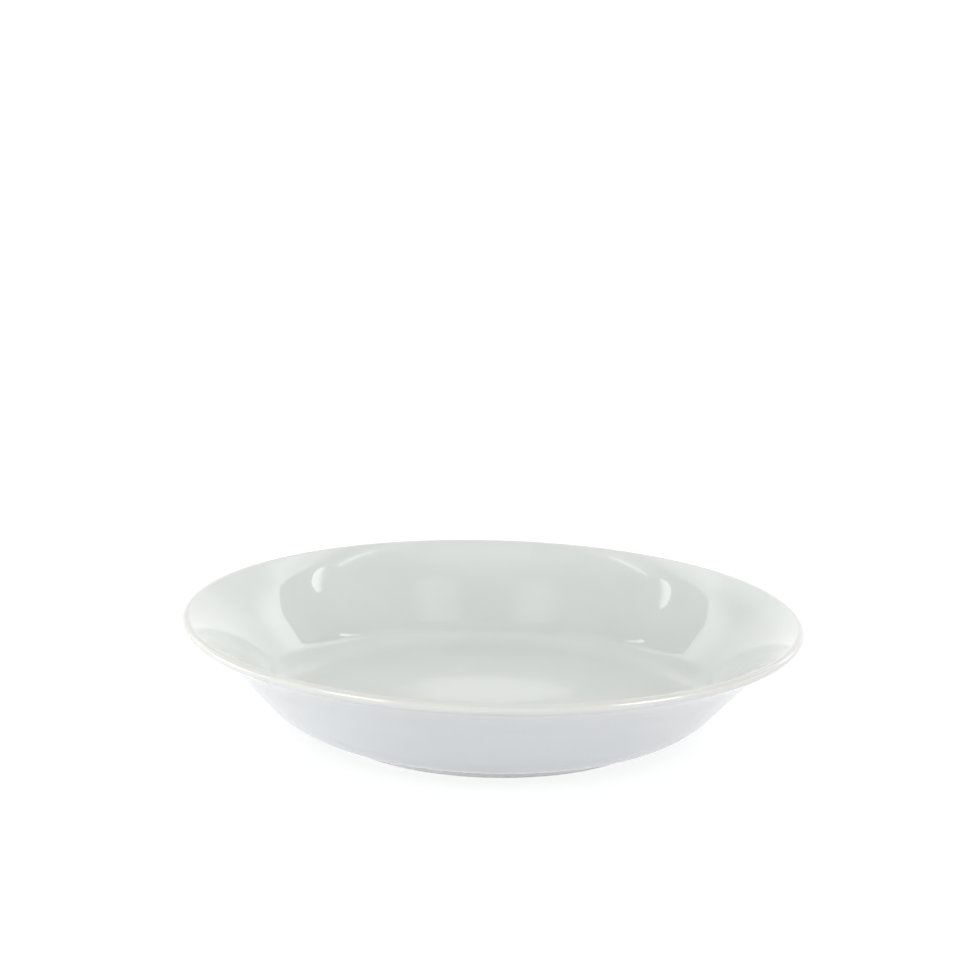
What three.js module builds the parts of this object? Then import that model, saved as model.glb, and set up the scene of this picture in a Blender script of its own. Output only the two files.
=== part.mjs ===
// Deep coupe plate: one fired porcelain body with its coats of glaze.
// Millimetres, +Z up. The origin is the centre of the foot ring's resting face.

import * as THREE from "three";

// The finished plate, glaze included
const RIM_DIAMETER = 230;
const HEIGHT = 43.5;
const WALL_THICKNESS = 3.7;
const FLOOR_THICKNESS = 4.4;
const DISH_RADIUS = 580;
const DISH_REACH = 66;
const RISE_RADIUS = 90;
const WALL_SLOPE = THREE.MathUtils.degToRad(47.4);
const LIP_SLOPE = THREE.MathUtils.degToRad(28.5);
const FLARE_RADIUS = 69;
const INSIDE_CORNER_RADIUS = 14;
const OUTSIDE_CORNER_RADIUS = 32;

// The foot ring, which is bare clay, and the recess inside it
const FOOT_HEIGHT = 3.4;
const RECESS_HEIGHT = 4;
const FOOT_WIDTH = 5;
const FOOT_FILLET = 1.2;
const FOOT_EDGE_RADIUS = 0.8;

// The coats of glaze, and the hair's breadth kept between pieces that are fused together
const GLAZE_THICKNESS = 0.3;
const FUSED_GAP = 0.02;

// Facets round the plate, and along each kind of curve in its section
const TURN_STEPS = 60;
const DISH_STEPS = 3;
const RISE_STEPS = 2;
const CORNER_STEPS = 6;
const FLARE_STEPS = 4;
const LIP_STEPS = 6;
const FOOT_STEPS = 2;

const RIGHT_ANGLE = Math.PI / 2;

// Depths below the finished skin: of the clay, and of the underside of each coat
const CLAY_DEPTH = GLAZE_THICKNESS;
const COAT_DEPTH = GLAZE_THICKNESS - FUSED_GAP;

// The lip is a half round on the end of the wall
const LIP_RADIUS = WALL_THICKNESS / 2;
const lipCentre = new THREE.Vector2(RIM_DIAMETER / 2 - LIP_RADIUS, HEIGHT - LIP_RADIUS);

// Both faces of the wall flare about one centre, below and outside the lip
const flareCentre = new THREE.Vector2(
  lipCentre.x + FLARE_RADIUS * Math.sin(LIP_SLOPE),
  lipCentre.y - FLARE_RADIUS * Math.cos(LIP_SLOPE),
);

// Where a flare arc ends and the straight wall under it begins
function wallFoot(flareRadius) {
  return new THREE.Vector2(
    flareCentre.x - flareRadius * Math.sin(WALL_SLOPE),
    flareCentre.y + flareRadius * Math.cos(WALL_SLOPE),
  );
}

// The middle of the floor and the recess under it are dished about one centre, high on the axis
const dishCentre = new THREE.Vector2(0, RECESS_HEIGHT + FLOOR_THICKNESS + DISH_RADIUS);
const dishSlope = Math.asin(DISH_REACH / DISH_RADIUS);
const recessRadius = DISH_RADIUS + FLOOR_THICKNESS;

// Beyond the dish's reach the floor rises faster, about a nearer centre
const riseCentre = new THREE.Vector2(
  (DISH_RADIUS - RISE_RADIUS) * Math.sin(dishSlope),
  dishCentre.y - (DISH_RADIUS - RISE_RADIUS) * Math.cos(dishSlope),
);

// The inside corner touches both the straight wall and the rising floor
function touchingCorner() {
  const along = new THREE.Vector2(Math.cos(WALL_SLOPE), Math.sin(WALL_SLOPE));
  const inward = new THREE.Vector2(-along.y, along.x);
  const start = wallFoot(FLARE_RADIUS + LIP_RADIUS).addScaledVector(inward, INSIDE_CORNER_RADIUS);
  const fromRise = start.clone().sub(riseCentre);
  const reach = RISE_RADIUS - INSIDE_CORNER_RADIUS;
  const middle = fromRise.dot(along);
  const shift = -middle - Math.sqrt(middle ** 2 - fromRise.lengthSq() + reach ** 2);
  return start.addScaledVector(along, shift);
}
const insideCornerCentre = touchingCorner();
const riseSlope = Math.atan2(
  insideCornerCentre.x - riseCentre.x,
  riseCentre.y - insideCornerCentre.y,
);

// The eating face above its floor, at a depth below its finished skin
function insideFace(depth) {
  const flareRadius = FLARE_RADIUS + LIP_RADIUS - depth;
  const cornerRadius = INSIDE_CORNER_RADIUS + depth;
  return { flareRadius, cornerRadius, cornerCentre: insideCornerCentre };
}

// The outer face, at a depth below its finished skin; its corner arc begins level, over the foot
function outsideFace(depth) {
  const flareRadius = FLARE_RADIUS - LIP_RADIUS + depth;
  const level = FOOT_HEIGHT + depth;
  const wallEnd = wallFoot(flareRadius);
  const rise = wallEnd.y - level;
  const cornerShare = 1 - Math.cos(WALL_SLOPE);
  const cornerRadius = Math.min(OUTSIDE_CORNER_RADIUS - depth, (0.95 * rise) / cornerShare);
  const straightRun = (rise - cornerRadius * cornerShare) / Math.tan(WALL_SLOPE);
  const edge = wallEnd.x - straightRun - cornerRadius * Math.sin(WALL_SLOPE);
  return { flareRadius, cornerRadius, cornerCentre: new THREE.Vector2(edge, level + cornerRadius) };
}

// The foot ring stands under the edge of the level part of the outer face
const bareOutside = outsideFace(CLAY_DEPTH);
const footOuter = bareOutside.cornerCentre.x;
const footInner = footOuter - FOOT_WIDTH;

// The hollow fillet outside the foot touches the foot's side and the curved outer face
const clayFillet = FOOT_FILLET + CLAY_DEPTH;
const filletReach = bareOutside.cornerRadius + clayFillet;
const filletSlope = Math.asin(clayFillet / filletReach);
const outerFilletCentre = new THREE.Vector2(
  footOuter + clayFillet,
  bareOutside.cornerCentre.y - filletReach * Math.cos(filletSlope),
);

// The hollow fillet inside the foot touches the foot's side and the dished recess
const recessReach = recessRadius + FOOT_FILLET;
const recessSlope = Math.asin((footInner - clayFillet) / recessReach);
const innerFilletCentre = new THREE.Vector2(
  footInner - clayFillet,
  dishCentre.y - recessReach * Math.cos(recessSlope),
);

// The coats on the wall stop just short of the lip band
const seamSlope = LIP_SLOPE + FUSED_GAP / FLARE_RADIUS;

// Points along an arc of the section, clockwise when its angle falls
function arc(centre, radius, from, to, steps) {
  const curve = new THREE.EllipseCurve(centre.x, centre.y, radius, radius, from, to, to < from);
  return curve.getPoints(steps);
}

// Points out from the axis along a dished face, to a slope at its edge
function dishArc(radius, slope) {
  const points = arc(dishCentre, radius, -RIGHT_ANGLE, slope - RIGHT_ANGLE, DISH_STEPS);
  points[0].x = 0;
  return points;
}

// Points up one face, from a slope in its corner to a slope near the lip
function faceArcs(face, cornerSlope, topSlope) {
  const from = cornerSlope - RIGHT_ANGLE;
  const to = WALL_SLOPE - RIGHT_ANGLE;
  const corner = arc(face.cornerCentre, face.cornerRadius, from, to, CORNER_STEPS);
  const wallAngle = WALL_SLOPE + RIGHT_ANGLE;
  const flare = arc(flareCentre, face.flareRadius, wallAngle, topSlope + RIGHT_ANGLE, FLARE_STEPS);
  return [...corner, ...flare];
}

// Points from the foot's outer side up to a slope near the lip
function outsideArcs(depth, topSlope) {
  const filletEnd = RIGHT_ANGLE + filletSlope;
  const fillet = arc(outerFilletCentre, FOOT_FILLET + depth, Math.PI, filletEnd, FOOT_STEPS);
  return [...fillet, ...faceArcs(outsideFace(depth), filletSlope, topSlope)];
}

// Points out from the middle of the eating face up to a slope near the lip
function insideArcs(depth, topSlope) {
  const from = dishSlope - RIGHT_ANGLE;
  const rise = arc(riseCentre, RISE_RADIUS + depth, from, riseSlope - RIGHT_ANGLE, RISE_STEPS);
  const wall = faceArcs(insideFace(depth), riseSlope, topSlope);
  return [...dishArc(DISH_RADIUS + depth, dishSlope), ...rise, ...wall];
}

// Points over the lip, from the outer face to the eating face
function lipArc(depth) {
  const from = LIP_SLOPE - RIGHT_ANGLE;
  return arc(lipCentre, LIP_RADIUS - depth, from, from + Math.PI, LIP_STEPS);
}

// Points out from the middle of the recess and down the foot's inner side
function recessArcs(depth) {
  const filletStart = RIGHT_ANGLE + recessSlope;
  const fillet = arc(innerFilletCentre, FOOT_FILLET + depth, filletStart, 0, FOOT_STEPS);
  return [...dishArc(recessRadius - depth, recessSlope), ...fillet];
}

// Points round the two lower edges of the foot ring
function footArcs() {
  const innerEdge = new THREE.Vector2(footInner + FOOT_EDGE_RADIUS, FOOT_EDGE_RADIUS);
  const outerEdge = new THREE.Vector2(footOuter - FOOT_EDGE_RADIUS, FOOT_EDGE_RADIUS);
  return [
    ...arc(innerEdge, FOOT_EDGE_RADIUS, Math.PI, Math.PI + RIGHT_ANGLE, FOOT_STEPS),
    ...arc(outerEdge, FOOT_EDGE_RADIUS, -RIGHT_ANGLE, 0, FOOT_STEPS),
  ];
}

// Ends a loop that stays clear of the axis where it began
function closed(section) {
  return [...section, section[0]];
}

// The section of each piece, as a loop with its material on the left
const claySection = [
  ...recessArcs(CLAY_DEPTH),
  ...footArcs(),
  ...outsideArcs(CLAY_DEPTH, LIP_SLOPE),
  ...lipArc(CLAY_DEPTH),
  ...insideArcs(CLAY_DEPTH, LIP_SLOPE).reverse(),
];
const faceGlazeSection = [...insideArcs(COAT_DEPTH, seamSlope), ...insideArcs(0, seamSlope).reverse()];
const lipBandSection = closed([...lipArc(0), ...lipArc(COAT_DEPTH).reverse()]);
const backGlazeSection = closed([
  ...outsideArcs(0, seamSlope),
  ...outsideArcs(COAT_DEPTH, seamSlope).reverse(),
]);
const baseGlazeSection = [...recessArcs(0), ...recessArcs(COAT_DEPTH).reverse()];

// Finishes
const bareClay = { color: 0xe9e6df, roughness: 0.75, metalness: 0 };
const whiteGlaze = { color: 0xf0f3f2, roughness: 0.08, metalness: 0 };
const creamGlaze = { color: 0xf4f1e3, roughness: 0.1, metalness: 0 };

// Turns a section about the plate's upright axis
function turned(name, section, finish) {
  const geometry = new THREE.LatheGeometry(section, TURN_STEPS);
  geometry.rotateX(RIGHT_ANGLE);
  const mesh = new THREE.Mesh(geometry, new THREE.MeshStandardMaterial(finish));
  mesh.name = name;
  return mesh;
}

const plate = new THREE.Group();
plate.name = "deep_coupe_plate";
plate.add(turned("porcelain_body", claySection, bareClay));
plate.add(turned("face_glaze", faceGlazeSection, whiteGlaze));
plate.add(turned("lip_band", lipBandSection, creamGlaze));
plate.add(turned("back_glaze", backGlazeSection, whiteGlaze));
plate.add(turned("base_glaze", baseGlazeSection, whiteGlaze));

export default plate;
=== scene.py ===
"""A deep coupe plate in glazed porcelain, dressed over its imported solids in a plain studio."""

import logging
import math
from dataclasses import dataclass, field, replace
from enum import Enum
from itertools import pairwise
from typing import NamedTuple

import bpy
from mathutils import Matrix, Vector


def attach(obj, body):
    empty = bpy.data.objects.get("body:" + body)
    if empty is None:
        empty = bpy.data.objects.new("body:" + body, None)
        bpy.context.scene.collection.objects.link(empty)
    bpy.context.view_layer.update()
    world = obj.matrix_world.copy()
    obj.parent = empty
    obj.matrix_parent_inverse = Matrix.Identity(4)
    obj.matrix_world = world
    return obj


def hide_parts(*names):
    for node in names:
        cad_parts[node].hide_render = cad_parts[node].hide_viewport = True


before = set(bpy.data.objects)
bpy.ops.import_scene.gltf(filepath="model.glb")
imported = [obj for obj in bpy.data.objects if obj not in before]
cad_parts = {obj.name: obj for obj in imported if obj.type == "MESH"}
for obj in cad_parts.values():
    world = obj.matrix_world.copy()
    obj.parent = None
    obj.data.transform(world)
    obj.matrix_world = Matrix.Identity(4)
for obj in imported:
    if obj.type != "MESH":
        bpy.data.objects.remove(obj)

log = logging.getLogger("deep_coupe_plate")

Colour = tuple[float, float, float]
Point = tuple[float, float]
Span = tuple[float, float]
Bearing = tuple[float, float]
Socket = bpy.types.NodeSocket

MM = 0.001
RIGHT_ANGLE = math.pi / 2

# Lengths in metres that count as nothing, and within which a loop counts as closed
NO_LENGTH = 1e-9
SAME_POINT = 1e-8

# The least distance or height that a share is taken of
LEAST_SHARE = 0.001

# How strong each finer layer of a noise is beside the layer before it
FINER_LAYER = 0.5


class Slot(Enum):
    """Material slots of the record."""

    BARE_CLAY = "bare_clay"
    WHITE_GLAZE = "white_glaze"
    CREAM_GLAZE = "cream_glaze"


class Shine(Enum):
    """How a lamp shines."""

    EVEN = "evenly"
    FADING = "fading across its breadth"
    MIRRORED = "only as a mirrored light"


class Nodes:
    """A shader node tree under construction."""

    def __init__(self, tree: bpy.types.NodeTree) -> None:
        """Takes over a tree and empties it."""
        self.tree = tree
        tree.nodes.clear()

    def add(self, kind: str, inputs: dict | None = None, **settings: object) -> bpy.types.Node:
        """Adds a node, sets its options, and sets or links its inputs.

        Args:
            kind: Blender's name for the node type.
            inputs: socket name or index to a socket to link from, or a value to set.
            settings: attributes of the node.

        Returns:
            The new node.
        """
        node = self.tree.nodes.new(kind)
        for name, value in settings.items():
            setattr(node, name, value)
        for key, value in (inputs or {}).items():
            if isinstance(value, Socket):
                self.tree.links.new(value, node.inputs[key])
            else:
                node.inputs[key].default_value = value
        return node

    def math(self, operation: str, *values: Socket | float) -> Socket:
        """Adds a Math node and returns its result."""
        return self.add("ShaderNodeMath", dict(enumerate(values)), operation=operation).outputs[0]

    def fade(self, value: Socket, span: Span, ends: Span = (0.0, 1.0)) -> Socket:
        """Adds a smooth step.

        Args:
            value: the socket that drives it.
            span: where the step begins and ends; it may run downwards.
            ends: the results at its beginning and at its end.

        Returns:
            The result's socket.
        """
        (start, low), (stop, high) = sorted(zip(span, ends))
        inputs = {"Value": value, "From Min": start, "From Max": stop, "To Min": low, "To Max": high}
        node = self.add("ShaderNodeMapRange", inputs, interpolation_type="SMOOTHSTEP")
        return node.outputs["Result"]

    def mix(self, factor: Socket, first: Socket, second: Socket | float) -> Socket:
        """Mixes two numbers: the first at a factor of 0, the second at 1."""
        return self.add("ShaderNodeMix", {0: factor, 2: first, 3: second}, data_type="FLOAT").outputs[0]

    def blend(self, factor: Socket, first: Socket | tuple, second: tuple) -> Socket:
        """Mixes two colours with alpha: the first at a factor of 0, the second at 1."""
        return self.add("ShaderNodeMix", {0: factor, 6: first, 7: second}, data_type="RGBA").outputs[2]

    def noise(self, where: Socket, size: float, detail: float = 2.0) -> Socket:
        """Adds a noise with features of a size in metres and so many finer layers."""
        inputs = {"Vector": where, "Scale": 1.0 / size, "Detail": detail, "Roughness": FINER_LAYER}
        return self.add("ShaderNodeTexNoise", inputs).outputs[0]

    def relief(self, height: Socket, depth: float, under: Socket | None = None) -> Socket:
        """Adds a bump.

        Args:
            height: the height's socket, from 0 to 1.
            depth: the height that 1 stands for, in metres.
            under: the normal's socket of a coarser bump that this one lies on.

        Returns:
            The normal's socket.
        """
        inputs = {"Height": height, "Distance": depth, "Strength": 1.0}
        if under is not None:
            inputs["Normal"] = under
        return self.add("ShaderNodeBump", inputs).outputs[0]


def opaque(colour: Colour) -> tuple[float, float, float, float]:
    """Gives a linear colour full alpha."""
    return (*colour, 1.0)


def polar(centre: Point, radius: float, angle: float) -> Point:
    """Finds the point at a distance and an angle from a centre, in the plate's section."""
    return (centre[0] + radius * math.cos(angle), centre[1] + radius * math.sin(angle))


def heading(azimuth: float, elevation: float) -> Vector:
    """Turns degrees to the right of the studio's back, and above its floor, into a direction."""
    turn, rise = math.radians(azimuth), math.radians(elevation)
    return Vector((math.sin(turn) * math.cos(rise), math.cos(turn) * math.cos(rise), math.sin(rise)))


def new_material(name: str) -> tuple[bpy.types.Material, Nodes]:
    """Makes a material.

    Args:
        name: the material's name.

    Returns:
        The material, and its empty node tree.
    """
    made = bpy.data.materials.new(name)
    made.use_nodes = True
    return made, Nodes(made.node_tree)


def new_object(name: str, data: bpy.types.ID) -> bpy.types.Object:
    """Makes an object and links it to the scene.

    Args:
        name: the object's name.
        data: its mesh, lamp or camera.

    Returns:
        The new object.
    """
    made = bpy.data.objects.new(name, data)
    bpy.context.scene.collection.objects.link(made)
    return made


@dataclass(frozen=True)
class Glaze:
    """A smooth fired glaze with faint waves, fine peel and slight changes of tint.

    A span is where a noise fades from one look to the other.
    """

    name: str
    colour: Colour
    shade: Colour
    tint_size: float = 28 * MM
    tint_span: Span = (0.35, 0.65)
    wave_size: float = 24 * MM
    wave_depth: float = 0.035 * MM
    peel_size: float = 1.6 * MM
    peel_depth: float = 0.0012 * MM
    gloss_size: float = 16.8 * MM
    gloss_span: Span = (0.3, 0.7)
    smoothest: float = 0.02
    roughest: float = 0.04
    refraction: float = 1.52

    def tint(self, nodes: Nodes, where: Socket) -> Socket:
        """Builds the colour at the object coordinates."""
        cloud = nodes.fade(nodes.noise(where, self.tint_size, detail=3.0), self.tint_span)
        return nodes.blend(cloud, opaque(self.shade), opaque(self.colour))

    def material(self) -> bpy.types.Material:
        """Builds the material.

        Returns:
            The new material.
        """
        made, nodes = new_material(self.name)
        where = nodes.add("ShaderNodeTexCoord").outputs["Object"]
        waves = nodes.relief(nodes.noise(where, self.wave_size, detail=1.0), self.wave_depth)
        peel = nodes.relief(nodes.noise(where, self.peel_size), self.peel_depth, waves)
        ends = (self.smoothest, self.roughest)
        gloss = nodes.fade(nodes.noise(where, self.gloss_size), self.gloss_span, ends)
        inputs = {
            "Base Color": self.tint(nodes, where),
            "Roughness": gloss,
            "Normal": peel,
            "IOR": self.refraction,
        }
        shader = nodes.add("ShaderNodeBsdfPrincipled", inputs)
        nodes.add("ShaderNodeOutputMaterial", {"Surface": shader.outputs[0]})
        return made


@dataclass(frozen=True)
class LipGlaze(Glaze):
    """The glaze on the lip, cream along its upper outer edge and white beside that.

    The ring is the radius and height of the centre of the lip's half round, and the angles are about it.
    """

    ring: Point = field(kw_only=True)
    cream: Colour = (0.73, 0.73, 0.69)
    edge_angle: float = math.radians(45)
    full_reach: float = math.radians(36)
    fade_reach: float = math.radians(62)
    ragged_size: float = 6 * MM
    ragged_reach: float = 0.25

    def tint(self, nodes: Nodes, where: Socket) -> Socket:
        """Builds the colour.

        Args:
            nodes: the material's tree.
            where: the object coordinates' socket.

        Returns:
            The colour's socket.
        """
        white = super().tint(nodes, where)
        across, back, up = nodes.add("ShaderNodeSeparateXYZ", {0: where}).outputs
        flat = nodes.add("ShaderNodeCombineXYZ", {0: across, 1: back}).outputs[0]
        radius = nodes.add("ShaderNodeVectorMath", {0: flat}, operation="LENGTH").outputs["Value"]
        out = nodes.math("SUBTRACT", radius, self.ring[0])
        rise = nodes.math("SUBTRACT", up, self.ring[1])
        angle = nodes.math("ARCTAN2", rise, out)
        away = nodes.math("ABSOLUTE", nodes.math("SUBTRACT", angle, self.edge_angle))
        noise = nodes.noise(where, self.ragged_size)
        ragged = nodes.math("MULTIPLY_ADD", noise, 2 * self.ragged_reach, -self.ragged_reach)
        cream = nodes.fade(nodes.math("ADD", away, ragged), (self.fade_reach, self.full_reach))
        return nodes.blend(cream, white, opaque(self.cream))


@dataclass(frozen=True)
class BareClay:
    """Fired clay without glaze: matte, finely grained, rubbed a little darker where it stands.

    A span is where a noise fades from one look to the other, and the stand's is in heights.
    """

    name: str
    # The clay's colour and its second colour are partly the bisque's own white and partly painted light:
    # they are set paler to lift the shade at the foot.
    colour: Colour = (0.9, 0.9, 0.895)
    shade: Colour = (0.86, 0.86, 0.85)
    rubbed: Colour = (0.74, 0.735, 0.715)
    cloud_size: float = 9 * MM
    cloud_span: Span = (0.3, 0.7)
    patch_size: float = 5 * MM
    patch_span: Span = (0.35, 0.7)
    stand_span: Span = (0.5 * MM, 0.05 * MM)
    grain_size: float = 0.35 * MM
    grain_depth: float = 0.02 * MM
    matte_size: float = 3 * MM
    matte_span: Span = (0.3, 0.7)
    smoothest: float = 0.6
    roughest: float = 0.85
    refraction: float = 1.5

    def material(self) -> bpy.types.Material:
        """Builds the material.

        Returns:
            The new material.
        """
        made, nodes = new_material(self.name)
        where = nodes.add("ShaderNodeTexCoord").outputs["Object"]
        height = nodes.add("ShaderNodeSeparateXYZ", {0: where}).outputs[2]
        cloud = nodes.fade(nodes.noise(where, self.cloud_size, detail=4.0), self.cloud_span)
        clay = nodes.blend(cloud, opaque(self.shade), opaque(self.colour))
        patches = nodes.fade(nodes.noise(where, self.patch_size, detail=3.0), self.patch_span)
        stand = nodes.math("MULTIPLY", nodes.fade(height, self.stand_span), patches)
        worn = nodes.blend(stand, clay, opaque(self.rubbed))
        grain = nodes.relief(nodes.noise(where, self.grain_size, detail=4.0), self.grain_depth)
        ends = (self.smoothest, self.roughest)
        matte = nodes.fade(nodes.noise(where, self.matte_size, detail=3.0), self.matte_span, ends)
        inputs = {"Base Color": worn, "Roughness": matte, "Normal": grain, "IOR": self.refraction}
        shader = nodes.add("ShaderNodeBsdfPrincipled", inputs)
        nodes.add("ShaderNodeOutputMaterial", {"Surface": shader.outputs[0]})
        return made


@dataclass(frozen=True)
class Arc:
    """An arc in the plate's section, clockwise where its last angle is the smaller."""

    centre: Point
    radius: float
    first: float
    last: float
    count: int

    def back(self) -> "Arc":
        """The same arc, run the other way."""
        return replace(self, first=self.last, last=self.first)


@dataclass(frozen=True)
class Face:
    """The rising part of one face of the section: a corner arc, a straight wall, a flare arc."""

    corner_centre: Point
    corner_radius: float
    flare_radius: float


class Step(NamedTuple):
    """A short step along a section, with the true normal at both of its ends."""

    start: Point
    stop: Point
    start_normal: Point
    stop_normal: Point


@dataclass
class SectionPath:
    """A path in the plate's section, kept as short steps."""

    steps: list[Step] = field(default_factory=list)

    def line_to(self, stop: Point, count: int = 1) -> None:
        """Adds a straight stretch, if there is any way to go.

        Args:
            stop: where it ends.
            count: how many steps it has.
        """
        start = self.steps[-1].stop
        run, rise = stop[0] - start[0], stop[1] - start[1]
        length = math.hypot(run, rise)
        if length < NO_LENGTH:
            return
        normal = (rise / length, -run / length)
        shares = [index / count for index in range(count + 1)]
        spots = [(start[0] + run * share, start[1] + rise * share) for share in shares]
        self.steps += [Step(*ends, normal, normal) for ends in pairwise(spots)]

    def arc(self, arc: Arc, lead: int = 1) -> None:
        """Adds an arc, with a straight stretch up to it if there is a gap.

        Args:
            arc: the arc.
            lead: how many steps the straight stretch has.
        """
        turn = arc.last - arc.first
        angles = [arc.first + turn * index / arc.count for index in range(arc.count + 1)]
        spots = [polar(arc.centre, arc.radius, angle) for angle in angles]
        side = math.copysign(1.0, turn)
        normals = [(side * math.cos(angle), side * math.sin(angle)) for angle in angles]
        if self.steps:
            self.line_to(spots[0], lead)
        self.steps += [Step(*ends, *sides) for ends, sides in zip(pairwise(spots), pairwise(normals))]

    def run(self, arcs: list[Arc], between: int = 1) -> None:
        """Adds arcs in order, with so many steps in a straight stretch between two of them."""
        for index, arc in enumerate(arcs):
            self.arc(arc, between if index else 1)

    def run_back(self, arcs: list[Arc], between: int = 1) -> None:
        """Adds arcs the other way, from the last to the first."""
        self.run([arc.back() for arc in reversed(arcs)], between)

    def close(self) -> None:
        """Leads the path back to where it began."""
        self.line_to(self.steps[0].start)


@dataclass(frozen=True)
class PlateSection:
    """The plate's section, with the sizes of the solids and finer steps along its curves.

    A point of it is a radius and a height. Depths are below the finished skin.
    """

    rim_radius: float = 115 * MM
    height: float = 43.5 * MM
    wall: float = 3.7 * MM
    floor: float = 4.4 * MM
    dish_radius: float = 580 * MM
    dish_reach: float = 66 * MM
    rise_radius: float = 90 * MM
    wall_slope: float = math.radians(47.4)
    lip_slope: float = math.radians(28.5)
    flare_radius: float = 69 * MM
    inside_corner: float = 14 * MM
    outside_corner: float = 32 * MM
    foot_height: float = 3.4 * MM
    recess_height: float = 4 * MM
    foot_width: float = 5 * MM
    foot_fillet: float = 1.2 * MM
    foot_edge: float = 0.8 * MM
    glaze: float = 0.3 * MM
    gap: float = 0.02 * MM
    corner_steps: int = 30
    straight_steps: int = 6
    dish_steps: int = 10
    rise_steps: int = 12
    flare_steps: int = 18
    lip_steps: int = 36
    foot_steps: int = 8

    @property
    def coat(self) -> float:
        """Depth of a coat's underside."""
        return self.glaze - self.gap

    @property
    def lip_radius(self) -> float:
        """Radius of the lip's half round."""
        return self.wall / 2

    @property
    def lip_centre(self) -> Point:
        """Centre of the lip's half round."""
        return (self.rim_radius - self.lip_radius, self.height - self.lip_radius)

    @property
    def flare_centre(self) -> Point:
        """Centre of the flare of both faces, below and outside the lip."""
        return polar(self.lip_centre, self.flare_radius, self.lip_slope - RIGHT_ANGLE)

    @property
    def dish_centre(self) -> Point:
        """Centre of the dished middle of the floor and of the dished recess under it."""
        return (0.0, self.recess_height + self.floor + self.dish_radius)

    @property
    def dish_slope(self) -> float:
        """Slope of the floor where it begins to rise faster."""
        return math.asin(self.dish_reach / self.dish_radius)

    @property
    def rise_centre(self) -> Point:
        """Centre of the arc in which the floor rises round its middle."""
        return polar(self.dish_centre, self.dish_radius - self.rise_radius, self.dish_slope - RIGHT_ANGLE)

    def wall_foot(self, flare_radius: float) -> Point:
        """Finds where a flare arc ends and the straight wall under it begins."""
        return polar(self.flare_centre, flare_radius, self.wall_slope + RIGHT_ANGLE)

    @property
    def inside_corner_centre(self) -> Point:
        """Centre of the inside corner, whose arc touches the wall and the rising floor.

        Returns:
            The centre.
        """
        slope = self.wall_slope
        wall_foot = self.wall_foot(self.flare_radius + self.lip_radius)
        start = polar(wall_foot, self.inside_corner, slope + RIGHT_ANGLE)
        out, rise = start[0] - self.rise_centre[0], start[1] - self.rise_centre[1]
        along = out * math.cos(slope) + rise * math.sin(slope)
        reach = self.rise_radius - self.inside_corner
        shift = -along - math.sqrt(along**2 - out**2 - rise**2 + reach**2)
        return polar(start, shift, slope)

    @property
    def rise_slope(self) -> float:
        """Slope of the floor where the inside corner begins."""
        across, up = self.inside_corner_centre
        return math.atan2(across - self.rise_centre[0], self.rise_centre[1] - up)

    def inside(self, depth: float) -> Face:
        """Works out the eating face above its floor, at a depth."""
        flare = self.flare_radius + self.lip_radius - depth
        return Face(self.inside_corner_centre, self.inside_corner + depth, flare)

    def outside(self, depth: float) -> Face:
        """Works out the outer face above the foot, whose corner arc begins level.

        Args:
            depth: the face's depth.

        Returns:
            The face.
        """
        flare = self.flare_radius - self.lip_radius + depth
        corner = self.outside_corner - depth
        level = self.foot_height + depth
        across, up = self.wall_foot(flare)
        fall = up - level - corner * (1 - math.cos(self.wall_slope))
        edge = across - fall / math.tan(self.wall_slope) - corner * math.sin(self.wall_slope)
        return Face((edge, level + corner), corner, flare)

    @property
    def foot_outer(self) -> float:
        """Outer radius of the bare foot ring."""
        return self.outside(self.glaze).corner_centre[0]

    @property
    def foot_inner(self) -> float:
        """Inner radius of the bare foot ring."""
        return self.foot_outer - self.foot_width

    @property
    def clay_fillet(self) -> float:
        """Radius of the fillets of the foot in the bare clay."""
        return self.foot_fillet + self.glaze

    @property
    def fillet_slope(self) -> float:
        """Slope of the outer face where the foot's outer fillet meets it."""
        return math.asin(self.clay_fillet / (self.outside(self.glaze).corner_radius + self.clay_fillet))

    @property
    def outer_fillet_centre(self) -> Point:
        """Centre of the fillet outside the foot.

        Returns:
            The centre.
        """
        bare = self.outside(self.glaze)
        reach = bare.corner_radius + self.clay_fillet
        return polar(bare.corner_centre, reach, self.fillet_slope - RIGHT_ANGLE)

    @property
    def recess_radius(self) -> float:
        """Radius of the dished recess inside the foot."""
        return self.dish_radius + self.floor

    @property
    def recess_slope(self) -> float:
        """Slope of the recess where the foot's inner fillet meets it."""
        return math.asin((self.foot_inner - self.clay_fillet) / (self.recess_radius + self.foot_fillet))

    @property
    def inner_fillet_centre(self) -> Point:
        """Centre of the fillet inside the foot."""
        reach = self.recess_radius + self.foot_fillet
        return polar(self.dish_centre, reach, self.recess_slope - RIGHT_ANGLE)

    def floor_arcs(self, depth: float) -> list[Arc]:
        """Lists the arcs of the floor, out from the axis: its middle and the faster rise round that.

        Args:
            depth: their depth.

        Returns:
            The arcs.
        """
        edge, end = self.dish_slope - RIGHT_ANGLE, self.rise_slope - RIGHT_ANGLE
        return [
            Arc(self.dish_centre, self.dish_radius + depth, -RIGHT_ANGLE, edge, self.dish_steps),
            Arc(self.rise_centre, self.rise_radius + depth, edge, end, self.rise_steps),
        ]

    def recess_arcs(self, depth: float) -> list[Arc]:
        """Lists the arcs of the recess, out from the axis: its dish and the fillet inside the foot.

        Args:
            depth: their depth.

        Returns:
            The arcs.
        """
        radius, slope = self.recess_radius - depth, self.recess_slope
        fillet = self.foot_fillet + depth
        return [
            Arc(self.dish_centre, radius, -RIGHT_ANGLE, slope - RIGHT_ANGLE, self.dish_steps),
            Arc(self.inner_fillet_centre, fillet, slope + RIGHT_ANGLE, 0.0, self.foot_steps),
        ]

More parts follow.
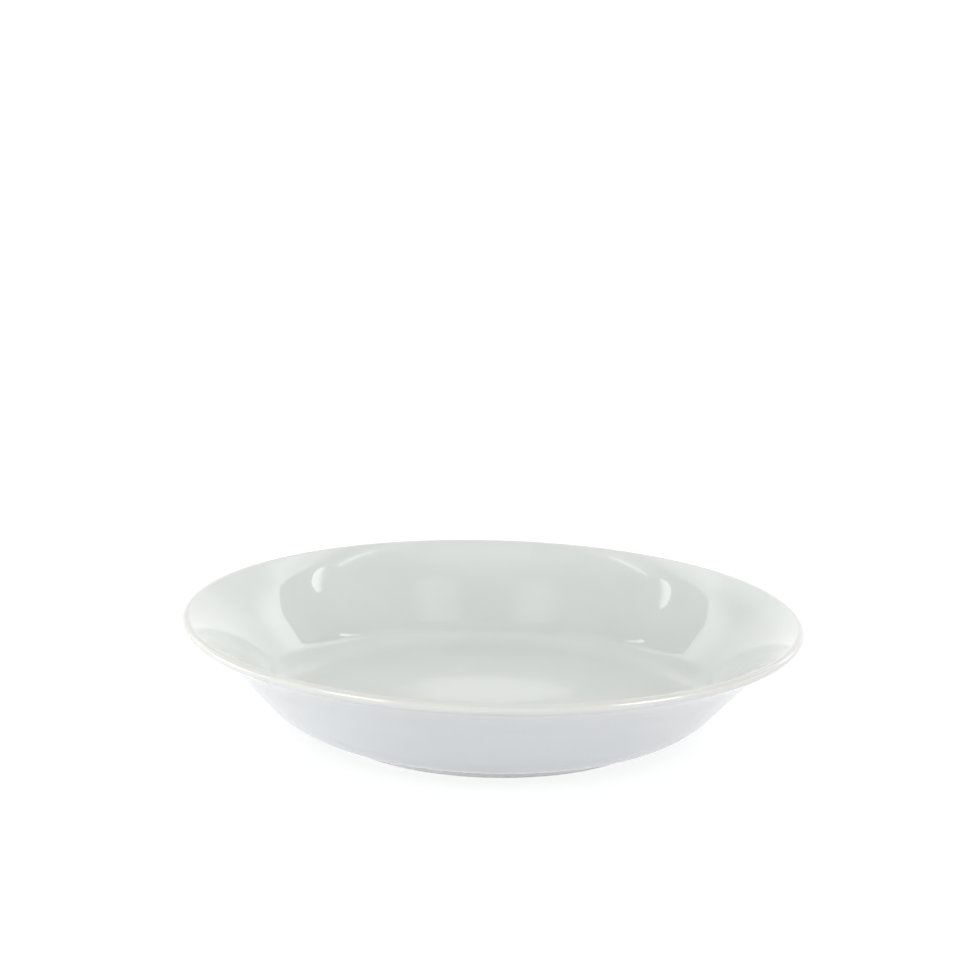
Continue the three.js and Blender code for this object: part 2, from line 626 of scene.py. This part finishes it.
    def face_arcs(self, face: Face, slope: float) -> list[Arc]:
        """Lists the arcs of a face, up from its corner to the lip.

        Args:
            face: the face.
            slope: the slope in the corner at which they begin.

        Returns:
            The arcs.
        """
        low, top = self.wall_slope - RIGHT_ANGLE, self.wall_slope + RIGHT_ANGLE
        lip = self.lip_slope + RIGHT_ANGLE
        return [
            Arc(face.corner_centre, face.corner_radius, slope - RIGHT_ANGLE, low, self.corner_steps),
            Arc(self.flare_centre, face.flare_radius, top, lip, self.flare_steps),
        ]

    def inside_arcs(self, depth: float) -> list[Arc]:
        """Lists the arcs of the eating face above its floor, upwards."""
        return self.face_arcs(self.inside(depth), self.rise_slope)

    def outside_arcs(self, depth: float) -> list[Arc]:
        """Lists the arcs of the outer face above the foot, upwards."""
        return self.face_arcs(self.outside(depth), self.fillet_slope)

    def fillet_arc(self, depth: float) -> Arc:
        """Gives the fillet outside the foot, upwards."""
        top = self.fillet_slope + RIGHT_ANGLE
        return Arc(self.outer_fillet_centre, self.foot_fillet + depth, math.pi, top, self.foot_steps)

    def lip_arc(self, depth: float) -> Arc:
        """Gives the lip's half round, from the outer face to the eating face."""
        first, last = self.lip_slope - RIGHT_ANGLE, self.lip_slope + RIGHT_ANGLE
        return Arc(self.lip_centre, self.lip_radius - depth, first, last, self.lip_steps)

    def coat_end(self, across: float, up: float) -> Arc:
        """Gives the rounded lower edge of a coat on the foot's side, about its middle."""
        return Arc((across, up), self.coat / 2, math.pi, 2 * math.pi, self.foot_steps)

    def clay(self) -> SectionPath:
        """Draws the clay: under the recess, round the foot, up the outside, over the lip, to the floor.

        Returns:
            The path.
        """
        path = SectionPath()
        edge, depth = self.foot_edge, self.glaze
        path.run(self.recess_arcs(depth))
        path.arc(Arc((self.foot_inner + edge, edge), edge, math.pi, 3 * RIGHT_ANGLE, self.foot_steps))
        path.arc(Arc((self.foot_outer - edge, edge), edge, -RIGHT_ANGLE, 0.0, self.foot_steps))
        path.arc(self.fillet_arc(depth))
        path.run(self.outside_arcs(depth), self.straight_steps)
        path.arc(self.lip_arc(depth))
        path.run_back(self.inside_arcs(depth), self.straight_steps)
        path.run_back(self.floor_arcs(depth))
        return path

    def face_glaze(self) -> SectionPath:
        """Draws the coat on the eating side.

        Returns:
            The path.
        """
        path = SectionPath()
        path.run(self.floor_arcs(self.coat))
        path.run(self.inside_arcs(self.coat), self.straight_steps)
        path.run_back(self.inside_arcs(0.0), self.straight_steps)
        path.run_back(self.floor_arcs(0.0))
        return path

    def lip_band(self) -> SectionPath:
        """Draws the band round the lip.

        Returns:
            The path.
        """
        path = SectionPath()
        path.arc(self.lip_arc(0.0))
        path.arc(self.lip_arc(self.coat).back())
        path.close()
        return path

    def back_glaze(self) -> SectionPath:
        """Draws the coat on the outside, with a rounded lower edge.

        Returns:
            The path.
        """
        path = SectionPath()
        across, up = self.outer_fillet_centre
        path.arc(self.coat_end(across - self.foot_fillet - self.coat / 2, up))
        path.arc(self.fillet_arc(0.0))
        path.run(self.outside_arcs(0.0), self.straight_steps)
        path.run_back(self.outside_arcs(self.coat), self.straight_steps)
        path.arc(self.fillet_arc(self.coat).back())
        path.close()
        return path

    def base_glaze(self) -> SectionPath:
        """Draws the coat in the recess inside the foot, with a rounded lower edge.

        Returns:
            The path.
        """
        path = SectionPath()
        across, up = self.inner_fillet_centre
        path.run(self.recess_arcs(0.0))
        path.arc(self.coat_end(across + self.foot_fillet + self.coat / 2, up))
        path.run_back(self.recess_arcs(self.coat))
        return path


@dataclass
class TurnedPiece:
    """One piece of the plate, turned about its upright axis."""

    name: str
    node: str
    slot: Slot
    path: SectionPath
    finish: Glaze | BareClay
    turns: int = 240

    def rings(self) -> list[Point]:
        """Lists the radius and height of each ring of the mesh, each once.

        Returns:
            The rings.
        """
        points = [self.path.steps[0].start, *(step.stop for step in self.path.steps)]
        if math.dist(points[0], points[-1]) < SAME_POINT:
            points.pop()
        return points

    def mesh(self) -> bpy.types.Mesh:
        """Turns the section into a closed mesh with the section's true normals.

        Returns:
            The new mesh.
        """
        rings = self.rings()
        angles = [2 * math.pi * turn / self.turns for turn in range(self.turns)]
        spokes = [(math.cos(angle), math.sin(angle)) for angle in angles]
        verts: list[tuple[float, float, float]] = []
        first: list[int] = []
        for radius, height in rings:
            first.append(len(verts))
            around = spokes if radius >= NO_LENGTH else [(0.0, 0.0)]
            verts += [(radius * across, radius * back, height) for across, back in around]
        faces: list[tuple[int, ...]] = []
        normals: list[tuple[float, float, float]] = []
        for index, step in enumerate(self.path.steps):
            pair = (index, (index + 1) % len(rings))
            sides = (step.start_normal, step.stop_normal)
            for turn in range(self.turns):
                corners = self.corners(rings, first, pair, (turn, (turn + 1) % self.turns), sides)
                faces.append(tuple(number for number, _, _ in corners))
                for _, (out, up), spoke in corners:
                    across, back = spokes[spoke]
                    normals.append((out * across, out * back, up))
        made = bpy.data.meshes.new(self.name)
        made.from_pydata(verts, [], faces)
        made.polygons.foreach_set("use_smooth", [True] * len(faces))
        made.normals_split_custom_set(normals)
        made.update()
        return made

    @staticmethod
    def corners(
        rings: list[Point],
        first: list[int],
        pair: tuple[int, int],
        turn: tuple[int, int],
        normals: tuple[Point, Point],
    ) -> list[tuple[int, Point, int]]:
        """Lists the corners of one face, which has only three where a ring is a point on the axis.

        Args:
            rings: radius and height of each ring.
            first: number of each ring's first vertex.
            pair: the two rings that the face lies between.
            turn: the two spokes that the face lies between.
            normals: the section's normal at each of the two rings.

        Returns:
            Vertex number, section normal and spoke of each corner.
        """
        found = []
        for ring, side in ((0, 0), (0, 1), (1, 1), (1, 0)):
            at_axis = rings[pair[ring]][0] < NO_LENGTH
            if at_axis and side == 1 - ring:
                continue
            number = first[pair[ring]] + (0 if at_axis else turn[side])
            found.append((number, normals[ring], turn[side]))
        return found

    def build(self) -> bpy.types.Object:
        """Makes the piece, dresses it, and puts it in the place of its solid.

        Returns:
            The new object.
        """
        made = new_object(self.name, self.mesh())
        made.data.materials.append(self.finish.material())
        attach(made, "root")
        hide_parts(self.node)
        log.info("%s: %d faces, stands for %s", self.name, len(made.data.polygons), self.node)
        return made


@dataclass(frozen=True)
class DeepCoupePlate:
    """The whole plate."""

    section: PlateSection = PlateSection()
    # The face and back coats are one white glaze. The back coat is lighter than the face coat as painted
    # light for the less lit underside. The face coat's green cast and the back coat's blue cast are partly
    # the tint of the light painted in and partly the glaze's own tint.
    face_finish: Glaze = Glaze("face_glaze_gloss", (0.735, 0.765, 0.742), (0.715, 0.748, 0.725))
    back_finish: Glaze = Glaze("back_glaze_gloss", (0.753, 0.776, 0.797), (0.739, 0.761, 0.782))
    base_finish: Glaze = Glaze("base_glaze_gloss", (0.79, 0.815, 0.82), (0.77, 0.795, 0.80), roughest=0.12)
    lip_finish: Glaze = LipGlaze(
        "lip_glaze_gloss", (0.765, 0.775, 0.775), (0.75, 0.76, 0.76), ring=PlateSection().lip_centre
    )
    foot_finish: BareClay = BareClay("bare_clay_matte")

    def build(self) -> list[bpy.types.Object]:
        """Builds the pieces, from the clay outwards.

        Returns:
            The pieces.
        """
        section, white = self.section, Slot.WHITE_GLAZE
        pieces = [
            TurnedPiece("clay_body", "porcelain_body", Slot.BARE_CLAY, section.clay(), self.foot_finish),
            TurnedPiece("face_coat", "face_glaze", white, section.face_glaze(), self.face_finish),
            TurnedPiece("lip_coat", "lip_band", Slot.CREAM_GLAZE, section.lip_band(), self.lip_finish),
            TurnedPiece("back_coat", "back_glaze", white, section.back_glaze(), self.back_finish),
            TurnedPiece("base_coat", "base_glaze", white, section.base_glaze(), self.base_finish),
        ]
        return [piece.build() for piece in pieces]


@dataclass(frozen=True)
class StripLamp:
    """A long soft lamp that faces the plate, given in degrees by the directions of its two ends."""

    name: str
    start: Bearing
    stop: Bearing
    breadth: float
    radiance: float
    shine: Shine = Shine.EVEN
    distance: float = 6.0
    fade_span: Span = (0.15, 0.7)
    fade_ends: Span = (0.03, 1.0)

    def build(self) -> bpy.types.Object:
        """Hangs the lamp.

        Returns:
            The new object.
        """
        first, last = heading(*self.start), heading(*self.stop)
        towards = (first + last).normalized()
        along = last - first
        lamp = bpy.data.lights.new(self.name, "AREA")
        lamp.shape = "ELLIPSE"
        lamp.size = along.length * self.distance
        lamp.size_y = math.radians(self.breadth) * self.distance
        area = lamp.size * lamp.size_y * math.pi / 4
        lamp.energy = self.radiance * math.pi * area
        if self.shine is Shine.FADING:
            self.soften(lamp)
        made = new_object(self.name, lamp)
        along = (along - along.dot(towards) * towards).normalized()
        axes = Matrix((along, towards.cross(along), towards)).transposed()
        made.location = towards * self.distance
        made.rotation_mode = "QUATERNION"
        made.rotation_quaternion = axes.to_quaternion()
        made.visible_camera = False
        made.visible_diffuse = self.shine is not Shine.MIRRORED
        log.info("lamp %s: %.1f W, shines %s", self.name, lamp.energy, self.shine.value)
        return made

    def soften(self, lamp: bpy.types.AreaLight) -> None:
        """Fades the lamp's light across its breadth.

        Args:
            lamp: the lamp.
        """
        lamp.use_nodes = True
        nodes = Nodes(lamp.node_tree)
        place = nodes.add("ShaderNodeNewGeometry").outputs["Parametric"]
        across = nodes.add("ShaderNodeSeparateXYZ", {0: place}).outputs[1]
        strength = nodes.fade(across, self.fade_span, self.fade_ends)
        glow = nodes.add("ShaderNodeEmission", {"Strength": strength})
        nodes.add("ShaderNodeOutputLight", {"Surface": glow.outputs[0]})


@dataclass(frozen=True)
class Outlook:
    """Sockets of the direction that the room's light comes from, one long."""

    where: Socket
    across: Socket
    back: Socket
    up: Socket
    aside: Socket


@dataclass(frozen=True)
class Glow:
    """A soft round patch of light on the ceiling: its direction, and its two sizes in degrees."""

    place: Bearing
    core: float
    edge: float
    radiance: float

    def light(self, nodes: Nodes, look: Outlook) -> Socket:
        """Works out the patch's light.

        Args:
            nodes: the world's tree.
            look: the direction.

        Returns:
            The brightness's socket.
        """
        inputs = {0: look.where, 1: heading(*self.place)}
        facing = nodes.add("ShaderNodeVectorMath", inputs, operation="DOT_PRODUCT").outputs["Value"]
        span = (math.cos(math.radians(self.edge)), math.cos(math.radians(self.core)))
        return nodes.fade(facing, span, (0.0, self.radiance))


@dataclass(frozen=True)
class BackWall:
    """The back wall, brighter towards its sides and upper corners and narrower above its waist.

    Its run is a distance aside and its rise a height, both as shares of the distance back.
    """

    # Brightness up the middle, at the sides and at the upper corners, and the share kept at the left
    low: float = 1.3
    middle: float = 1.02
    high: float = 1.05
    edge: float = 2.5
    corner: float = 1.75
    lean: float = 0.8

    # Where the wall ends: its sides below and above the waist, and its top
    side: float = 1.2
    waist: float = 0.95
    top: float = 1.75

    # Where each change begins and ends
    waist_rise: Span = (0.88, 1.24)
    side_blur: Span = (0.03, -0.03)
    top_blur: Span = (0.25, -0.25)
    upper_rise: Span = (0.9, 1.3)
    upper_run: Span = (0.42, 0.62)
    edge_run: Span = (0.62, 1.05)
    low_rise: Span = (0.4, 0.56)
    high_rise: Span = (0.76, 0.94)
    corner_rise: Span = (1.1, 1.5)
    lean_across: Span = (-0.45, 0.1)

    def light(self, nodes: Nodes, look: Outlook) -> tuple[Socket, Socket]:
        """Works out where the wall is and how bright.

        Args:
            nodes: the world's tree.
            look: the direction.

        Returns:
            Sockets of its mask and its brightness.
        """
        depth = nodes.math("MAXIMUM", look.back, LEAST_SHARE)
        run, rise = nodes.math("DIVIDE", look.aside, depth), nodes.math("DIVIDE", look.up, depth)
        side = nodes.fade(rise, self.waist_rise, (self.side, self.waist))
        within = nodes.fade(nodes.math("SUBTRACT", run, side), self.side_blur)
        under = nodes.fade(nodes.math("SUBTRACT", rise, self.top), self.top_blur)
        mask = nodes.math("MULTIPLY", within, under)
        upper = nodes.math("MULTIPLY", nodes.fade(rise, self.upper_rise), nodes.fade(run, self.upper_run))
        outer = nodes.math("MAXIMUM", nodes.fade(run, self.edge_run), upper)
        middle = nodes.fade(rise, self.low_rise, (self.low, self.middle))
        middle = nodes.mix(nodes.fade(rise, self.high_rise), middle, self.high)
        bright = nodes.fade(rise, self.corner_rise, (self.edge, self.corner))
        lean = nodes.fade(look.across, self.lean_across, (self.lean, 1.0))
        return mask, nodes.math("MULTIPLY", nodes.mix(outer, middle, bright), lean)


@dataclass(frozen=True)
class FrontWalls:
    """The pale walls in front and at the sides, darker low in front of the plate."""

    # Brightness in front, low in front, and at the left and right
    front: float = 1.3
    front_low: float = 0.4
    left: float = 2.0
    right: float = 2.1

    # Where each change begins and ends: up, back or across in a direction one long
    top_up: Span = (0.64, 0.54)
    front_back: Span = (0.15, -0.15)
    skirting_up: Span = (0.27, 0.2)
    front_up: Span = (0.1, 0.24)
    middle_across: Span = (-0.3, 0.3)
    side_aside: Span = (0.35, 0.9)

    def light(self, nodes: Nodes, look: Outlook) -> tuple[Socket, Socket]:
        """Works out where the walls are and how bright.

        Args:
            nodes: the world's tree.
            look: the direction.

        Returns:
            Sockets of their mask and their brightness.
        """
        near = nodes.fade(look.back, self.front_back)
        mask = nodes.math("MULTIPLY", nodes.fade(look.up, self.top_up), near)
        mask = nodes.math("MAXIMUM", mask, nodes.fade(look.up, self.skirting_up))
        front = nodes.fade(look.up, self.front_up, (self.front_low, self.front))
        side = nodes.fade(look.across, self.middle_across, (self.left, self.right))
        return mask, nodes.mix(nodes.fade(look.aside, self.side_aside), front, side)


@dataclass(frozen=True)
class Ceiling:
    """A grey ceiling with soft glows and a cove in two stretches, left and right.

    Places in the cove are shares of the height.
    """

    # Brightness of the ceiling, and what the cove adds to it
    grey: float = 0.5
    cove: float = 0.5

    # The cove's place, and where it fades across its breadth and at the ends of its stretches
    cove_back: float = 0.38
    cove_breadth: Span = (0.1, 0.02)
    cove_far: Span = (0.56, 0.46)
    cove_near: Span = (0.1, 0.3)
    glows: tuple[Glow, ...] = (
        Glow((131, 67), 3.0, 9.0, 0.85),
        Glow((-143, 67.5), 3.0, 9.0, 0.85),
        Glow((0, 88), 4.0, 18.0, 0.35),
    )

    def light(self, nodes: Nodes, look: Outlook) -> Socket:
        """Works out the ceiling's light.

        Args:
            nodes: the world's tree.
            look: the direction.

        Returns:
            The brightness's socket.
        """
        height = nodes.math("MAXIMUM", look.up, LEAST_SHARE)
        spread = nodes.math("DIVIDE", look.aside, height)
        far, near = nodes.fade(spread, self.cove_far), nodes.fade(spread, self.cove_near)
        stretch = nodes.math("MULTIPLY", far, near)
        off = nodes.math("SUBTRACT", nodes.math("DIVIDE", look.back, height), self.cove_back)
        line = nodes.fade(nodes.math("ABSOLUTE", off), self.cove_breadth)
        strip = nodes.math("MULTIPLY", stretch, line)
        total = nodes.math("MULTIPLY_ADD", strip, self.cove, self.grey)
        for glow in self.glows:
            total = nodes.math("ADD", total, glow.light(nodes, look))
        return total


@dataclass(frozen=True)
class Room:
    """The light from all round the plate."""

    ceiling: Ceiling = Ceiling()
    front: FrontWalls = FrontWalls()
    back: BackWall = BackWall()

    def build(self) -> None:
        """Sets the world's light: the ceiling, over it the walls in front, and over both the back wall."""
        world = bpy.data.worlds.new("studio_room")
        bpy.context.scene.world = world
        world.use_nodes = True
        nodes = Nodes(world.node_tree)
        where = nodes.add("ShaderNodeTexCoord").outputs["Generated"]
        across, back, up = nodes.add("ShaderNodeSeparateXYZ", {0: where}).outputs
        look = Outlook(where, across, back, up, nodes.math("ABSOLUTE", across))
        total = self.ceiling.light(nodes, look)
        for wall in (self.front, self.back):
            mask, brightness = wall.light(nodes, look)
            total = nodes.mix(mask, total, brightness)
        inputs = {"Color": (1.0, 1.0, 1.0, 1.0), "Strength": total}
        light = nodes.add("ShaderNodeBackground", inputs)
        nodes.add("ShaderNodeOutputWorld", {"Surface": light.outputs[0]})
        log.info("room lit")


@dataclass(frozen=True)
class Floor:
    """A floor that looks white and keeps the plate's shadow."""

    colour: Colour = (0.8, 0.8, 0.8)
    seen: Colour = (0.32, 0.32, 0.32)
    lift: float = 0.79
    reach: float = 5.0

    def material(self) -> bpy.types.Material:
        """Builds the paint, which is lifted to white only where it is seen or mirrored.

        Returns:
            The new material.
        """
        made, nodes = new_material("floor_white")
        rays = nodes.add("ShaderNodeLightPath").outputs
        seen = nodes.math("MAXIMUM", rays["Is Camera Ray"], rays["Is Glossy Ray"])
        seen = nodes.math("MAXIMUM", seen, rays["Is Transmission Ray"])
        lift = nodes.add("ShaderNodeEmission", {"Strength": self.lift})
        shade = nodes.add("ShaderNodeBsdfDiffuse", {"Color": opaque(self.seen)})
        look = nodes.add("ShaderNodeAddShader", {0: shade.outputs[0], 1: lift.outputs[0]})
        matte = nodes.add("ShaderNodeBsdfDiffuse", {"Color": opaque(self.colour)})
        both = nodes.add("ShaderNodeMixShader", {0: seen, 1: matte.outputs[0], 2: look.outputs[0]})
        nodes.add("ShaderNodeOutputMaterial", {"Surface": both.outputs[0]})
        return made

    def build(self) -> bpy.types.Object:
        """Lays the floor.

        Returns:
            The floor.
        """
        signs = ((-1, -1), (1, -1), (1, 1), (-1, 1))
        corners = [(across * self.reach, back * self.reach, 0.0) for across, back in signs]
        mesh = bpy.data.meshes.new("floor")
        mesh.from_pydata(corners, [], [(0, 1, 2, 3)])
        mesh.materials.append(self.material())
        made = new_object("floor", mesh)
        log.info("floor laid")
        return made


@dataclass(frozen=True)
class Studio:
    """The room, the floor and the lamps.

    Light may skim round the glazed wall many times before it leaves, so many bounces are allowed.
    """

    room: Room = Room()
    floor: Floor = Floor()
    bounces: int = 32
    lamps: tuple[StripLamp, ...] = (
        StripLamp("lamp_right", (46, 54.6), (64, 46.9), 5.2, 3.8, Shine.FADING),
        StripLamp("lamp_left", (-71.5, 45.3), (-50, 55.0), 5.2, 3.4, Shine.FADING),
        StripLamp("seam_right", (50.7, 57.4), (36.3, 64.0), 2.0, 1.7),
        StripLamp("seam_left", (-53.2, 58.5), (-36.0, 65.0), 2.0, 1.7),
        StripLamp("soft_right", (121, 5), (121, 38), 27.0, 5.8, Shine.MIRRORED),
        StripLamp("soft_left", (-130, 4), (-130, 36), 28.0, 5.0, Shine.MIRRORED),
        StripLamp("low_left", (-60, 1.2), (-105, 1.2), 2.0, 36.0),
        StripLamp("low_front", (135, 1.2), (240, 1.2), 2.0, 7.2),
    )

    def build(self) -> None:
        """Builds the studio."""
        cycles = bpy.context.scene.cycles
        cycles.max_bounces = self.bounces
        cycles.glossy_bounces = self.bounces
        self.room.build()
        self.floor.build()
        for lamp in self.lamps:
            lamp.build()


@dataclass(frozen=True)
class PhotoCamera:
    """The camera where the photograph was taken from, turned in degrees."""

    location: tuple[float, float, float] = (0.0, -1.05535, 0.33521)
    turn: tuple[float, float, float] = (76.953, -1.486, 0.481)
    lens: float = 108.09
    sensor: float = 36.0
    clip: Span = (0.05, 50.0)

    def build(self) -> bpy.types.Object:
        """Sets up the camera.

        Returns:
            The camera.
        """
        camera = bpy.data.cameras.new("photo_camera")
        camera.sensor_width = self.sensor
        camera.lens = self.lens
        camera.clip_start, camera.clip_end = self.clip
        made = new_object("photo_camera", camera)
        made.location = self.location
        made.rotation_euler = [math.radians(angle) for angle in self.turn]
        bpy.context.scene.camera = made
        log.info("camera set")
        return made


def main() -> None:
    """Builds the plate, the studio and the camera."""
    logging.basicConfig(level=logging.INFO, format="%(name)s: %(message)s")
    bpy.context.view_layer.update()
    bpy.context.scene.view_settings.view_transform = "Standard"
    PhotoCamera().build()
    DeepCoupePlate().build()
    Studio().build()
    bpy.context.view_layer.update()


if __name__ == "__main__":
    main()
